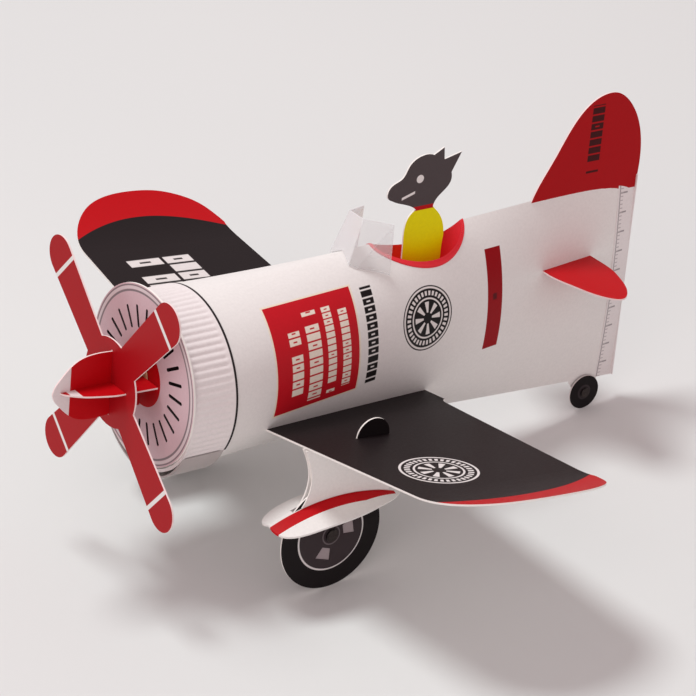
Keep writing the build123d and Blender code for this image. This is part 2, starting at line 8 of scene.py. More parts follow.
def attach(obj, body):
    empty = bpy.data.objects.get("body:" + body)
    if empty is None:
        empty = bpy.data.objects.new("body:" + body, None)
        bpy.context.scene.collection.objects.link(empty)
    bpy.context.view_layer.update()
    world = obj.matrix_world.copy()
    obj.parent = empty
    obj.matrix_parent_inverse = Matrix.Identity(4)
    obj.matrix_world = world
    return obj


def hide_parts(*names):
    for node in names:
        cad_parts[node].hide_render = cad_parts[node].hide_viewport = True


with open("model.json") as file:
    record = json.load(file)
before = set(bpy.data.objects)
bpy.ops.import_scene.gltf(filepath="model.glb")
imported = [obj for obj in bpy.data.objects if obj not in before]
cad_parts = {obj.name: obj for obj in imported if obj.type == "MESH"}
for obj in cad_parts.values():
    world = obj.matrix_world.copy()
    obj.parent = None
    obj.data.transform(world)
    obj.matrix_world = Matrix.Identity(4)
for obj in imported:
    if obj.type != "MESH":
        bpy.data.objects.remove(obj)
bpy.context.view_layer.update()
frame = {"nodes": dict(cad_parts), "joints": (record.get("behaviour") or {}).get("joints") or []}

# ------------------------------------------------------------------ camera
# Seen from in front of the left wing and a little above, from about a metre.
# The long lens keeps the small toy's perspective as gentle as it looks by eye.
camera_place = Vector((0.5231, 0.7552, 0.5629))
look_along = Vector((-0.4938, -0.7185, -0.4899))
camera_roll = math.radians(-0.48)
camera_lens = 190.25
nearest_seen = 0.01
camera = bpy.data.objects.new("camera", bpy.data.cameras.new("camera"))
camera.data.lens = camera_lens
camera.data.clip_start = nearest_seen
camera.location = camera_place
camera.rotation_mode = "QUATERNION"
camera.rotation_quaternion = (look_along.to_track_quat("-Z", "Y")
                              @ Matrix.Rotation(camera_roll, 4, "Z").to_quaternion())
bpy.context.scene.collection.objects.link(camera)
bpy.context.scene.camera = camera
bpy.context.scene.view_settings.view_transform = "Standard"


# ------------------------------------------------------------------ light and floor
# A lamp high up behind the right wing gives the soft shadow, and a weaker, broader
# one in front and a pale room fill it. The floor is a plain sheet of matt paper.
def linear(hex_code):
    """Turn an sRGB hex colour into the linear values that shaders take."""
    channels = [int(hex_code[i:i + 2], 16) / 255 for i in (1, 3, 5)]
    return [c / 12.92 if c <= 0.04045 else ((c + 0.055) / 1.055) ** 2.4 for c in channels] + [1.0]


def add(tree, kind, feeds=None, out=0, **settings):
    """Add a node with its settings, set or link its inputs, and give the chosen output."""
    node = tree.nodes.new("ShaderNode" + kind)
    for name, value in settings.items():
        setattr(node, name, value)
    for socket, value in (feeds or {}).items():
        if isinstance(value, bpy.types.NodeSocket):
            tree.links.new(value, node.inputs[socket])
        else:
            node.inputs[socket].default_value = value
    return node if out is None else node.outputs[out]


lamp_aim = Vector((0, 0, 0.05))


def soft_light(name, place, size, watts, tint):
    """A round lamp, as wide as its size in metres, turned towards the middle of the toy."""
    lamp = bpy.data.lights.new(name, "AREA")
    lamp.shape = "DISK"
    lamp.size = size
    lamp.energy = watts
    lamp.color = linear(tint)[:3]
    holder = bpy.data.objects.new(name, lamp)
    holder.location = place
    holder.rotation_mode = "QUATERNION"
    holder.rotation_quaternion = (lamp_aim - Vector(place)).to_track_quat("-Z", "Y")
    bpy.context.scene.collection.objects.link(holder)


soft_light("window_light", (0.27, -0.44, 1.72), 0.56, 17.8, "#FAFDFD")
soft_light("front_fill", (1.1, 0.9, 0.9), 1.2, 5.4, "#FFF1F0")
room_tint, room_strength = linear("#F2DFE1"), 0.6
room = bpy.data.worlds.new("room")
room.use_nodes = True
room.node_tree.nodes["Background"].inputs["Color"].default_value = room_tint
room.node_tree.nodes["Background"].inputs["Strength"].default_value = room_strength
bpy.context.scene.world = room

floor_half = 12.0
floor_corners = [(x * floor_half, y * floor_half, 0.0) for x, y in ((-1, -1), (1, -1), (1, 1), (-1, 1))]
floor_mesh = bpy.data.meshes.new("floor")
floor_mesh.from_pydata(floor_corners, [], [(0, 1, 2, 3)])
floor = bpy.data.objects.new("floor", floor_mesh)
bpy.context.scene.collection.objects.link(floor)

# Uncoated paper: quite matt, with cloudy patches about a quarter of a metre across.
paper_darker, paper_lighter = linear("#D8DCDB"), linear("#DEE1DF")
matt_paper = bpy.data.materials.new("matt_backdrop_paper")
matt_paper.use_nodes = True
tree = matt_paper.node_tree
tree.nodes.clear()
paper_cloud = add(tree, "TexNoise", {"Vector": add(tree, "TexCoord", out="Object"), "Scale": 4.0})
paper_tone = add(tree, "Mix", {0: paper_cloud, 6: paper_darker, 7: paper_lighter},
                 out=2, data_type="RGBA")
paper_surface = add(tree, "BsdfPrincipled", {"Base Color": paper_tone, "Roughness": 0.9})
add(tree, "OutputMaterial", {"Surface": paper_surface}, out=None)
floor_mesh.materials.append(matt_paper)

# ------------------------------------------------------------------ fuselage wrapper
# One sheet of coated card, printed on its outside, rolled round the formers and
# glued along the belly. It is round at the cap and pressed flat at the tail, with
# an oval cut out for the cockpit, where the white core of the card shows.
spin = next(j for j in frame["joints"] if j["name"] == "propeller_spin")
roll = next(j for j in frame["joints"] if j["name"] == "wheel_left_roll")
nose_up = math.atan2(spin["axis"][2], spin["axis"][0])
axle_in_body = Vector((-25.7, 37.2, -38.6))
tip_back = Matrix.Rotation(-nose_up, 4, "Y")
stand_shift = Vector(roll["pos_m"]) * 1000 - tip_back @ axle_in_body
body_to_stand = Matrix.Translation(stand_shift / 1000) @ tip_back @ Matrix.Scale(0.001, 4)
body_axis = {"x": tip_back @ Vector((1, 0, 0)), "y": Vector((0, 1, 0)),
             "z": tip_back @ Vector((0, 0, 1))}

card_core = linear("#F5F2ED")
card_white = linear("#EBE9E6")
ink_red = linear("#BC0813")
ink_black = linear("#1B1718")


def start_card(name):
    """A material for card: the material, its tree, and a point's place in the body's millimetres."""
    made = bpy.data.materials.new(name)
    made.use_nodes = True
    tree = made.node_tree
    tree.nodes.clear()
    spot = add(tree, "Mapping", {"Vector": add(tree, "TexCoord", out="Object"),
                                 "Location": tip_back.inverted() @ -stand_shift,
                                 "Rotation": (0, nose_up, 0), "Scale": (1000, 1000, 1000)})
    return made, tree, spot


def split_up(tree, spot):
    """A place's distance forward, to the left and up, in the body's millimetres."""
    parts = add(tree, "SeparateXYZ", {0: spot}, out=None).outputs
    return parts[0], parts[1], parts[2]


def finish_card(tree, spot, colour, ink=0.0):
    """Coated card's surface: faint mottle and tooth, with ink a little glossier than bare stock."""
    fibre = add(tree, "TexNoise", {"Vector": spot, "Scale": 1.2, "Detail": 4.0, "Roughness": 0.62})
    tone = add(tree, "MapRange", {"Value": fibre, "From Min": 0.3, "From Max": 0.7,
                                  "To Min": 0.96, "To Max": 1.02})
    stock = colour[:3] if isinstance(colour, list) else colour
    colour = add(tree, "VectorMath", {0: stock, "Scale": tone}, operation="SCALE")
    gloss = add(tree, "MapRange", {"Value": ink, "To Min": 0.6, "To Max": 0.4})
    gloss = add(tree, "Math", {0: fibre, 1: 0.12, 2: gloss}, operation="MULTIPLY_ADD")
    tooth = add(tree, "Bump", {"Height": fibre, "Strength": 0.35, "Distance": 0.00006})
    surface = add(tree, "BsdfPrincipled", {"Base Color": colour, "Roughness": gloss, "Normal": tooth,
                                           "Specular IOR Level": 0.12})
    add(tree, "OutputMaterial", {"Surface": surface}, out=None)


def band(tree, value, low, high, soft=0.12):
    """Mask of a printed band between two places, with an edge as soft as the ink's spread."""
    off = add(tree, "Math", {0: value, 1: (low + high) / 2}, operation="SUBTRACT")
    off = add(tree, "Math", {0: off}, operation="ABSOLUTE")
    half = (high - low) / 2
    return add(tree, "MapRange", {"Value": off, "From Min": half - soft / 2,
                                  "From Max": half + soft / 2, "To Min": 1.0, "To Max": 0.0})


def overlap(tree, first, *others):
    """Mask of where all the masks meet."""
    for other in others:
        first = add(tree, "Math", {0: first, 1: other}, operation="MULTIPLY")
    return first


def together(tree, first, *others):
    """Mask of where any of the masks is."""
    for other in others:
        first = add(tree, "Math", {0: first, 1: other}, operation="MAXIMUM")
    return first


def print_over(tree, stock, *inks):
    """Lay inks over the stock in order. Each ink is its mask and its colour."""
    for mask, ink in inks:
        stock = add(tree, "Mix", {0: mask, 6: stock, 7: ink}, out=2, data_type="RGBA")
    return stock


def block_row(tree, along, across, start, end, low, high, pitch, seed):
    """A line of plain printed blocks of one width, some with a small opening, some left out."""
    step = add(tree, "Math", {0: along, 1: pitch}, operation="DIVIDE")
    cell = add(tree, "Math", {0: step}, operation="FLOOR")
    cell = add(tree, "Math", {0: cell, 1: seed}, operation="ADD")
    inside = add(tree, "Math", {0: step}, operation="FRACT")
    chance = add(tree, "TexWhiteNoise", {"W": cell}, noise_dimensions="1D")
    shown = add(tree, "Math", {0: chance, 1: 0.08}, operation="GREATER_THAN")
    opened = add(tree, "Math", {0: chance, 1: 0.5}, operation="GREATER_THAN")
    middle, reach = (low + high) / 2, (high - low) * 0.17
    opening = overlap(tree, band(tree, inside, 0.38, 0.56, 0.08), opened,
                      band(tree, across, middle - reach, middle + reach, 0.2))
    solid = add(tree, "Math", {0: 1.0, 1: opening}, operation="SUBTRACT")
    return overlap(tree, band(tree, inside, 0.08, 0.88, 0.08), shown, solid,
                   band(tree, along, start, end, pitch * 0.1), band(tree, across, low, high, 0.2))


def from_centre(tree, across, up, centre):
    """How far a point lies across and up from a centre, and how far away it is in all."""
    across = add(tree, "Math", {0: across, 1: centre[0]}, operation="SUBTRACT")
    up = add(tree, "Math", {0: up, 1: centre[1]}, operation="SUBTRACT")
    place = add(tree, "CombineXYZ", {0: across, 1: up})
    return across, up, add(tree, "VectorMath", {0: place}, out="Value", operation="LENGTH")


def seal(tree, across, up, centre, radius):
    """A round seal: masks of its disc and of the rings, ticks and eight rays printed on it."""
    across, up, away = from_centre(tree, across, up, centre)
    turn = add(tree, "Math", {0: up, 1: across}, operation="ARCTAN2")
    ticks = add(tree, "Math", {0: turn, 1: 34 / (2 * math.pi)}, operation="MULTIPLY")
    ticks = band(tree, add(tree, "Math", {0: ticks}, operation="FRACT"), 0.22, 0.78, 0.1)
    rays = add(tree, "Math", {0: turn, 1: 8.0}, operation="MULTIPLY")
    rays = add(tree, "Math", {0: rays}, operation="COSINE")
    rays = add(tree, "MapRange", {"Value": rays, "From Min": 0.1, "From Max": 0.35})
    marks = together(tree, band(tree, away, 0.9 * radius, 0.96 * radius),
                     overlap(tree, ticks, band(tree, away, 0.69 * radius, 0.83 * radius)),
                     band(tree, away, 0.57 * radius, 0.62 * radius),
                     overlap(tree, rays, band(tree, away, 0.17 * radius, 0.5 * radius)))
    return band(tree, away, -radius, radius), marks


def dress(material, *nodes):
    """Give CAD nodes a finish."""
    for name in nodes:
        piece = frame["nodes"][name]
        piece.data.materials.clear()
        piece.data.materials.append(material)


def new_piece(name, points, faces, materials, body, node):
    """A mesh made in the body's millimetres, set on its stand, that stands for a CAD node."""
    mesh = bpy.data.meshes.new(name)
    mesh.from_pydata([body_to_stand @ Vector(p) for p in points], [], faces)
    mesh.validate()
    mesh.shade_smooth()
    mesh.set_sharp_from_angle(angle=math.radians(38))
    for material in materials:
        mesh.materials.append(material)
    piece = bpy.data.objects.new(name, mesh)
    bpy.context.scene.collection.objects.link(piece)
    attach(piece, body)
    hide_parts(node)
    return piece


# Places on the wrapper are millimetres along the tube and degrees up round its side.
label_rear, label_front, label_low, label_high = -45.6, -14.8, -16.9, 58.7
border_along, border_round = 0.6, 1.3
type_front, type_width = -14.7, 30.9
label_lines = ((0.25, 4.1, -12.5, 38.0, 5.7), (0.47, 4.9, -13.0, 49.0, 5.7),
               (0.67, 3.1, -12.0, 49.0, 4.5), (0.85, 3.1, -10.0, 45.0, 4.5))
side_rear, side_front, side_low, side_high, side_pitch = -53.0, -49.0, -15.4, 55.5, 5.9
seal_along, seal_degrees, seal_r, mm_per_degree = -72.3, 19.4, 9.6, 0.399
bar_rear, bar_front, bar_low, bar_high = -102.4, -96.5, -22.8, 58.6
dot_rear, dot_front, dot_low, dot_high = -100.2, -98.6, 17.0, 22.0

# Coated art card: smooth, just short of shiny, with solid inks and a faint tooth.
wrapper_card, tree, spot = start_card("printed_art_card_wrapper")
x, _, _ = split_up(tree, spot)
turn = add(tree, "Attribute", {}, out="Fac", attribute_name="wrap_degrees")
label = overlap(tree, band(tree, x, label_rear - border_along, label_front + border_along),
                band(tree, turn, label_low - border_round, label_high + border_round, 0.3))
label_red = overlap(tree, band(tree, x, label_rear, label_front),
                    band(tree, turn, label_low, label_high, 0.3))
label_type = []
for number, (share, height, start, end, pitch) in enumerate(label_lines):
    centre = type_front - type_width * share
    label_type.append(block_row(tree, turn, x, start, end, centre - height / 2, centre + height / 2,
                                pitch, 11.0 * number))
side_type = block_row(tree, turn, x, side_low, side_high, side_rear, side_front, side_pitch, 71.0)
height_round = add(tree, "Math", {0: turn, 1: mm_per_degree}, operation="MULTIPLY")
seal_disc, seal_marks = seal(tree, x, height_round, (seal_along, seal_degrees * mm_per_degree), seal_r)
red_bar = overlap(tree, band(tree, x, bar_rear, bar_front), band(tree, turn, bar_low, bar_high, 0.3))
bar_dot = overlap(tree, band(tree, x, dot_rear, dot_front, 0.5),
                  band(tree, turn, dot_low, dot_high, 1.2))
colour = print_over(tree, card_white, (label, linear("#F0E6D2")), (label_red, linear("#C41824")),
                    (together(tree, *label_type), linear("#F2E8D8")), (side_type, ink_black),
                    (seal_disc, ink_black), (seal_marks, linear("#E9E5E2")),
                    (red_bar, linear("#960410")), (bar_dot, linear("#5A1016")))
finish_card(tree, spot, colour, together(tree, label, side_type, seal_disc, red_bar))

# The card's uncoated inside and cut edge: warm, dull and a little rougher.
bare_card, tree, spot = start_card("bare_card_core")
finish_card(tree, spot, card_core)

tube_length, tube_r, tail_half_height, tail_half_width = 155.15, 25.0, 33.16, 0.5
card_thick = 0.5
cockpit_x, cockpit_half_length, cockpit_half_width = -75.0, 16.0, 6.9
oval_steps, ring_steps, row_gap = 28, 40, 3.2
thinnest_half = 0.04


def wrapper_point(x, degrees, side, inset):
    """A point of the wrapper: round in front, and flat, its sides pressed together, at the tail."""
    t = -x / tube_length
    phi = math.radians(degrees)
    width = max((1 - t) * tube_r + t * tail_half_width - inset, thinnest_half)
    rise = (1 - t) * tube_r * math.sin(phi) + t * tail_half_height * degrees / 90
    return x, side * width * math.cos(phi), rise - inset * math.sin(phi)


front_x, rear_x = cockpit_x + cockpit_half_length, cockpit_x - cockpit_half_length
front_rows, rear_rows = round(-front_x / row_gap), round((rear_x + tube_length) / row_gap)
rows = [front_x * i / front_rows for i in range(front_rows)]
rows += [cockpit_x + cockpit_half_length * math.cos(math.pi * i / oval_steps) for i in range(oval_steps)]
rows += [rear_x - (rear_x + tube_length) * i / rear_rows for i in range(rear_rows + 1)]
points, degrees_at, index, faces, face_kind = [], [], {}, [], []
for inset in (0.0, card_thick):
    for r, row_x in enumerate(rows):
        share = max(1 - ((row_x - cockpit_x) / cockpit_half_length) ** 2, 0)
        width = (1 + row_x / tube_length) * tube_r - row_x / tube_length * tail_half_width
        opening = cockpit_half_width * math.sqrt(share) / width
        top = 90 if share < 1e-9 else math.degrees(math.acos(opening))
        for side in (1, -1):
            for c in range(ring_steps + 1):
                shared_edge = c == 0 or (c == ring_steps and top == 90)
                if side == -1 and shared_edge:
                    index[inset, r, side, c] = index[inset, r, 1, c]
                    continue
                degrees = -90 + (top + 90) * c / ring_steps
                index[inset, r, side, c] = len(points)
                points.append(wrapper_point(row_x, degrees, side, inset))
                degrees_at.append(degrees)
for side in (1, -1):
    for r in range(len(rows) - 1):
        for c in range(ring_steps):
            for inset in (0.0, card_thick):
                quad = [index[inset, r, side, c], index[inset, r + 1, side, c],
                        index[inset, r + 1, side, c + 1], index[inset, r, side, c + 1]]
                faces.append(quad if (side == 1) == (inset > 0) else quad[::-1])
                face_kind.append(0 if inset == 0 else 1)
        rim = [index[0.0, r, side, ring_steps], index[0.0, r + 1, side, ring_steps],
               index[card_thick, r + 1, side, ring_steps], index[card_thick, r, side, ring_steps]]
        if front_rows <= r < front_rows + oval_steps:
            faces.append(rim if side == 1 else rim[::-1])
            face_kind.append(1)
    for r in (0, len(rows) - 1):
        for c in range(ring_steps):
            end = [index[0.0, r, side, c], index[0.0, r, side, c + 1],
                   index[card_thick, r, side, c + 1], index[card_thick, r, side, c]]
            faces.append(end if (side == 1) == (r == 0) else end[::-1])
            face_kind.append(1)
wrapper = new_piece("tube_wrapper", points, faces, [wrapper_card, bare_card], "airframe",
                    "fuselage_tube")
wrapper.data.polygons.foreach_set("material_index", face_kind)
wrap_degrees = wrapper.data.attributes.new("wrap_degrees", "FLOAT", "POINT")
wrap_degrees.data.foreach_set("value", degrees_at)

# Formers, joiners and the belly strip: the same card, unprinted, inside the tube.
dress(bare_card, "seam_strip", "nose_coupler", "nose_former", "mid_former", "rear_former",
      "wing_joiner", "pilot_foot", "leg_spacer_left", "leg_spacer_right")

# ------------------------------------------------------------------ tail crimp
# A strip of grey-printed card folded over the pressed tail, like a tube's metal
# fold. It has a crease line and a small ruler of ticks along its height.
crease_rear, crease_front = -149.9, -149.5
tick_root, long_tick_end, short_tick_end = -149.6, -152.6, -151.0
ruler_pitch, ticks_per_pitch = 6.2, 5.0
crimp_card, tree, spot = start_card("grey_printed_crimp_card")
x, _, z = split_up(tree, spot)
crease = band(tree, x, crease_rear, crease_front)
along_ruler = add(tree, "Math", {0: z, 1: ruler_pitch}, operation="DIVIDE")
long_ticks = add(tree, "Math", {0: along_ruler}, operation="FRACT")
long_ticks = overlap(tree, band(tree, long_ticks, 0.45, 0.53, 0.03),
                     band(tree, x, long_tick_end, tick_root))
short_ticks = add(tree, "Math", {0: along_ruler, 1: ticks_per_pitch}, operation="MULTIPLY")
short_ticks = add(tree, "Math", {0: short_ticks}, operation="FRACT")
short_ticks = overlap(tree, band(tree, short_ticks, 0.4, 0.65, 0.1),
                      band(tree, x, short_tick_end, tick_root))
colour = print_over(tree, linear("#E9E4E3"), (crease, linear("#A39D9E")),
                    (long_ticks, linear("#9A9596")), (short_ticks, linear("#BDB7B8")))
finish_card(tree, spot, colour, 0.5)
dress(crimp_card, "tail_crimp_strip")

# ------------------------------------------------------------------ cap
# The tube's screw cap, rolled from embossed card. Its side has fine soft ribs and
# a thin black line at the back, and a plain flap closes it underneath.
line_rear, line_front, line_low, line_high = -0.5, 0.75, -14.3, 40.0
skirt_card, tree, spot = start_card("embossed_white_card_skirt")
x, _, z = split_up(tree, spot)
rear_line = overlap(tree, band(tree, x, line_rear, line_front),
                    band(tree, z, line_low, line_high, 0.4))
colour = print_over(tree, linear("#EBE5E4"), (rear_line, linear("#2A2627")))
finish_card(tree, spot, colour, rear_line)

# Each ring of the side has its place along the cap and its share of the rib's depth.
skirt_r, skirt_inner_r, skirt_rear, skirt_front = 25.3, 24.4, 0.05, 14.35
rib_count, rib_depth, steps_per_rib, rib_sharpness = 78, 0.34, 8, 1.5
profile = [(skirt_rear, 0.0), (1.3, 0.0), (1.9, 0.6), (2.5, 1.0), (12.6, 1.0), (13.2, 0.6),
           (13.6, 0.0), (skirt_front, 0.0)]
around = rib_count * steps_per_rib
points, faces = [], []
for row_x, ribbed in profile:
    for i in range(around):
        phi = 2 * math.pi * i / around
        valley = (0.5 - 0.5 * math.cos(rib_count * phi)) ** rib_sharpness
        radius = skirt_r - ribbed * rib_depth * valley
        points.append((row_x, radius * math.cos(phi), radius * math.sin(phi)))
for row_x in (skirt_front, skirt_rear):
    for i in range(around):
        phi = 2 * math.pi * i / around
        points.append((row_x, skirt_inner_r * math.cos(phi), skirt_inner_r * math.sin(phi)))
loops = len(profile) + 2
for r in range(loops):
    for i in range(around):
        j, n = (i + 1) % around, (r + 1) % loops
        faces.append((r * around + i, n * around + i, n * around + j, r * around + j))
new_piece("cap_ribs", points, faces, [skirt_card], "airframe", "cap_skirt")

# The flap below is the same card, left unprinted; its warm grey is painted shade, for the shadow it lies
# in as it faces down under the cap.
shade_grey_chin_card, tree, spot = start_card("card_flap_painted_shade_grey")
# This grey is painted shade, not the card's own colour.
finish_card(tree, spot, linear("#B9B2B0"), 0.4)
dress(shade_grey_chin_card, "cap_chin")


def facing(tree, axis):
    """How squarely the surface faces along an axis: 1 along it, -1 against it, 0 across it."""
    return add(tree, "VectorMath", {0: add(tree, "TexCoord", out="Normal"), 1: axis}, out="Value",
               operation="DOT_PRODUCT")


def cut_edge(tree, axis):
    """Mask of a card's cut edge, where the surface turns away from the printed face."""
    lean = add(tree, "Math", {0: facing(tree, axis)}, operation="ABSOLUTE")
    return add(tree, "MapRange", {"Value": lean, "From Min": 0.45, "From Max": 0.6, "To Min": 1.0,
                                  "To Max": 0.0})


# The cap's round face is painted a dusty pink, which is painted shade and painted red light thrown back
# from the propeller onto pale card. Grey rings are printed at its rim, and it is cut with a ring of
# slots.
# A black card behind the slots stands in for the shade inside the cap, and their cut edges are painted
# dark as shade, so they read as deep.
face_z, slots_end_r, shaft_spot_r = 2.3, 22.0, 9.0
shade_tinted_face_card, tree, spot = start_card("card_face_painted_shade_and_red_light")
_, y, z = split_up(tree, spot)
_, _, away = from_centre(tree, y, z, (0.0, face_z))
rings = together(tree, band(tree, away, 23.5, 24.1), band(tree, away, 25.1, 25.5))
pale_ring = band(tree, away, 24.2, 25.0)
shaft_spot = band(tree, away, -shaft_spot_r, shaft_spot_r)
edge = cut_edge(tree, body_axis["x"])
# Inside the slots the cut edge is painted near-black: painted shade on the slot walls.
slot_wall_painted_shade = overlap(tree, edge, band(tree, away, -slots_end_r, slots_end_r))
# The dusty pink base colour is painted shade and painted red light from the propeller.
colour = print_over(tree, linear("#DCC0C6"), (pale_ring, linear("#E2D6D8")),
                    (rings, linear("#8C8184")), (shaft_spot, ink_red), (edge, card_core),
                    (slot_wall_painted_shade, linear("#3A3134")))
finish_card(tree, spot, colour, 0.6)
dress(shade_tinted_face_card, "cap_face")
# The black board behind the slots is a dark sheet standing in for the shade inside the cap; the shaft
# bearing is cut from the same board.
bearing_and_shade_backing_board, tree, spot = start_card("black_board_bearing_and_painted_shade_backing")
finish_card(tree, spot, ink_black, 0.3)
dress(bearing_and_shade_backing_board, "face_backing", "shaft_bearing")

# ------------------------------------------------------------------ propeller and spinner
# A die-cut cross of red card with a white band near each tip. Two bullet-shaped
# cards lap at right angles in front of it as the spinner, on a wooden shaft.
blade_angle = math.radians(48)
tip_band_start, tip_band_end = 34.9, 36.1
red_card_edge = linear("#F3DEDC")
propeller_card, tree, spot = start_card("red_printed_card_propeller")
_, y, z = split_up(tree, spot)
upward = add(tree, "Math", {0: z, 1: face_z}, operation="SUBTRACT")
tip_bands = []
for turned in (blade_angle, blade_angle + math.pi / 2):
    along = add(tree, "Math", {0: y, 1: math.cos(turned)}, operation="MULTIPLY")
    along = add(tree, "Math", {0: upward, 1: math.sin(turned), 2: along}, operation="MULTIPLY_ADD")
    along = add(tree, "Math", {0: along}, operation="ABSOLUTE")
    tip_bands.append(band(tree, along, tip_band_start, tip_band_end))
colour = print_over(tree, linear("#A90F18"), (together(tree, *tip_bands), card_white),
                    (cut_edge(tree, body_axis["x"]), red_card_edge))
finish_card(tree, spot, colour, 1.0)
dress(propeller_card, "propeller")

# Each spinner card has a pale band, and stands across the sideways or the upward axis.
spinner_cards = (("spinner_vertical", "y", 38.4, 50.0), ("spinner_horizontal", "z", 36.9, 39.7))
for node, across, band_rear, band_front in spinner_cards:
    spinner_card, tree, spot = start_card("red_printed_card_" + node)
    x, _, _ = split_up(tree, spot)
    colour = print_over(tree, ink_red, (band(tree, x, band_rear, band_front), linear("#E4DCDC")),
                        (cut_edge(tree, body_axis[across]), red_card_edge))
    finish_card(tree, spot, colour, 1.0)
    dress(spinner_card, node)

# Birch dowel: pale, with fine straight grain along the shaft.
dowel_birch, tree, spot = start_card("sanded_birch_dowel")
grain_place = add(tree, "Mapping", {"Vector": spot, "Scale": (0.15, 3.0, 3.0)})
grain = add(tree, "TexNoise", {"Vector": grain_place, "Scale": 1.0, "Detail": 5.0})
colour = add(tree, "Mix", {0: grain, 6: linear("#C9A878"), 7: linear("#E6CFA6")}, out=2,
             data_type="RGBA")
dowel_bump = add(tree, "Bump", {"Height": grain, "Strength": 0.3, "Distance": 0.00005})
dowel_surface = add(tree, "BsdfPrincipled", {"Base Color": colour, "Roughness": 0.62,
                                             "Normal": dowel_bump})
add(tree, "OutputMaterial", {"Surface": dowel_surface}, out=None)
dress(dowel_birch, "propeller_shaft", "thrust_washer", "shaft_stop")

# ------------------------------------------------------------------ wings
# Two black-printed cards with red tips, curled up a little, that slide into the
# tube. The left one carries a round seal, and the right one two printed lines.
tip_start, tip_bow, tip_centre, past_the_tip = 98.1, 0.0108, -45.0, 200.0
wing_seal, wing_seal_r = (-36.7, 69.2), 11.5
type_root, type_tip, type_pitch = 32.0, 77.5, 4.6
for side, node in ((1, "wing_left"), (-1, "wing_right")):
    wing_card, tree, spot = start_card("black_printed_card_" + node)
    x, y, _ = split_up(tree, spot)
    outward = add(tree, "Math", {0: y, 1: side}, operation="MULTIPLY")
    bow = add(tree, "Math", {0: x, 1: tip_centre}, operation="SUBTRACT")
    bow = add(tree, "Math", {0: bow, 1: bow}, operation="MULTIPLY")
    bow = add(tree, "Math", {0: bow, 1: tip_bow, 2: outward}, operation="MULTIPLY_ADD")
    red_tip = band(tree, bow, tip_start, past_the_tip, 0.2)
    underside = add(tree, "MapRange", {"Value": facing(tree, body_axis["z"]), "From Min": -0.6,
                                       "From Max": -0.5, "To Min": 1.0, "To Max": 0.0})
    if side == 1:
        printed = seal(tree, x, outward, wing_seal, wing_seal_r)[1]
    else:
        front_line = block_row(tree, outward, x, type_root, type_tip, -39.5, -28.0, type_pitch, 3.0)
        rear_line = block_row(tree, outward, x, type_root, type_tip, -50.0, -40.7, type_pitch, 29.0)
        printed = together(tree, front_line, rear_line)
    colour = print_over(tree, linear("#201A1B"), (printed, linear("#E4E0DE")), (red_tip, ink_red),
                        (underside, card_white), (cut_edge(tree, body_axis["z"]), card_core))
    finish_card(tree, spot, colour, 1.0)
    dress(wing_card, node)

# ------------------------------------------------------------------ undercarriage
# White card legs whose round black tabs come up through the wings, and an arched
# white fender with a red stripe over each wheel.
wing_slope, tab_low, tab_high = -0.078, -8.0, 40.0
leg_card, tree, spot = start_card("white_card_leg_black_tab")
x, _, z = split_up(tree, spot)
above_wing = add(tree, "Math", {0: x, 1: wing_slope, 2: z}, operation="MULTIPLY_ADD")
tab = band(tree, above_wing, tab_low, tab_high)
colour = print_over(tree, card_white, (tab, ink_black), (cut_edge(tree, body_axis["y"]), card_core))
finish_card(tree, spot, colour, tab)
dress(leg_card, "leg_left", "leg_right", "leg_cover_left", "leg_cover_right")

# The stripe starts 38.7 mm out and widens forwards, from 39.6 to 42.0 mm out.
stripe_inner, stripe_outer_rear, stripe_outer_front = 38.7, 39.6, 42.0
widens_from, widens_to = -47.0, -34.0
stripe_rear, stripe_front, stripe_low, stripe_high = -46.0, -4.0, -50.0, -20.0
fender_card, tree, spot = start_card("white_card_fender_red_stripe")
x, y, z = split_up(tree, spot)
outward = add(tree, "Math", {0: y}, operation="ABSOLUTE")
stripe_outer = add(tree, "MapRange", {"Value": x, "From Min": widens_from, "From Max": widens_to,
                                      "To Min": stripe_outer_rear, "To Max": stripe_outer_front})
inside_outer = add(tree, "Math", {0: outward, 1: stripe_outer}, operation="LESS_THAN")
stripe = overlap(tree, inside_outer, band(tree, outward, stripe_inner, 60.0),
                 band(tree, x, stripe_rear, stripe_front), band(tree, z, stripe_low, stripe_high))
finish_card(tree, spot, print_over(tree, card_white, (stripe, ink_red)), stripe)
dress(fender_card, "fender_left", "fender_right")

# ------------------------------------------------------------------ wheels
# Discs of black card with a thin white ring. A smaller dark grey disc is glued on
# as the hub, and its three windows show pale card behind. Pins hold them.
axle = (axle_in_body.x, axle_in_body.z)
ring_inner_r, ring_outer_r, window_card_r, outer_face_reach = 10.5, 11.05, 10.3, 10.0
wheel_card, tree, spot = start_card("black_printed_card_wheel")
x, y, z = split_up(tree, spot)
_, _, away = from_centre(tree, x, z, axle)
outward = add(tree, "Math", {0: facing(tree, body_axis["y"]), 1: y}, operation="MULTIPLY")
outer_face = add(tree, "Math", {0: outward, 1: outer_face_reach}, operation="GREATER_THAN")
window_card = overlap(tree, outer_face, band(tree, away, -window_card_r, window_card_r))
colour = print_over(tree, ink_black, (band(tree, away, ring_inner_r, ring_outer_r), linear("#E8E4E2")),
                    (window_card, linear("#A79C9E")), (cut_edge(tree, body_axis["y"]), card_core))
finish_card(tree, spot, colour, 0.8)
dress(wheel_card, "wheel_left", "wheel_right")

hub_card, tree, spot = start_card("dark_grey_card_hub")
x, _, z = split_up(tree, spot)
_, _, away = from_centre(tree, x, z, axle)
colour = print_over(tree, linear("#3D3537"), (band(tree, away, 2.6, 3.0), linear("#6A6163")))
finish_card(tree, spot, colour, 0.7)
dress(hub_card, "wheel_cap_left", "wheel_cap_right")

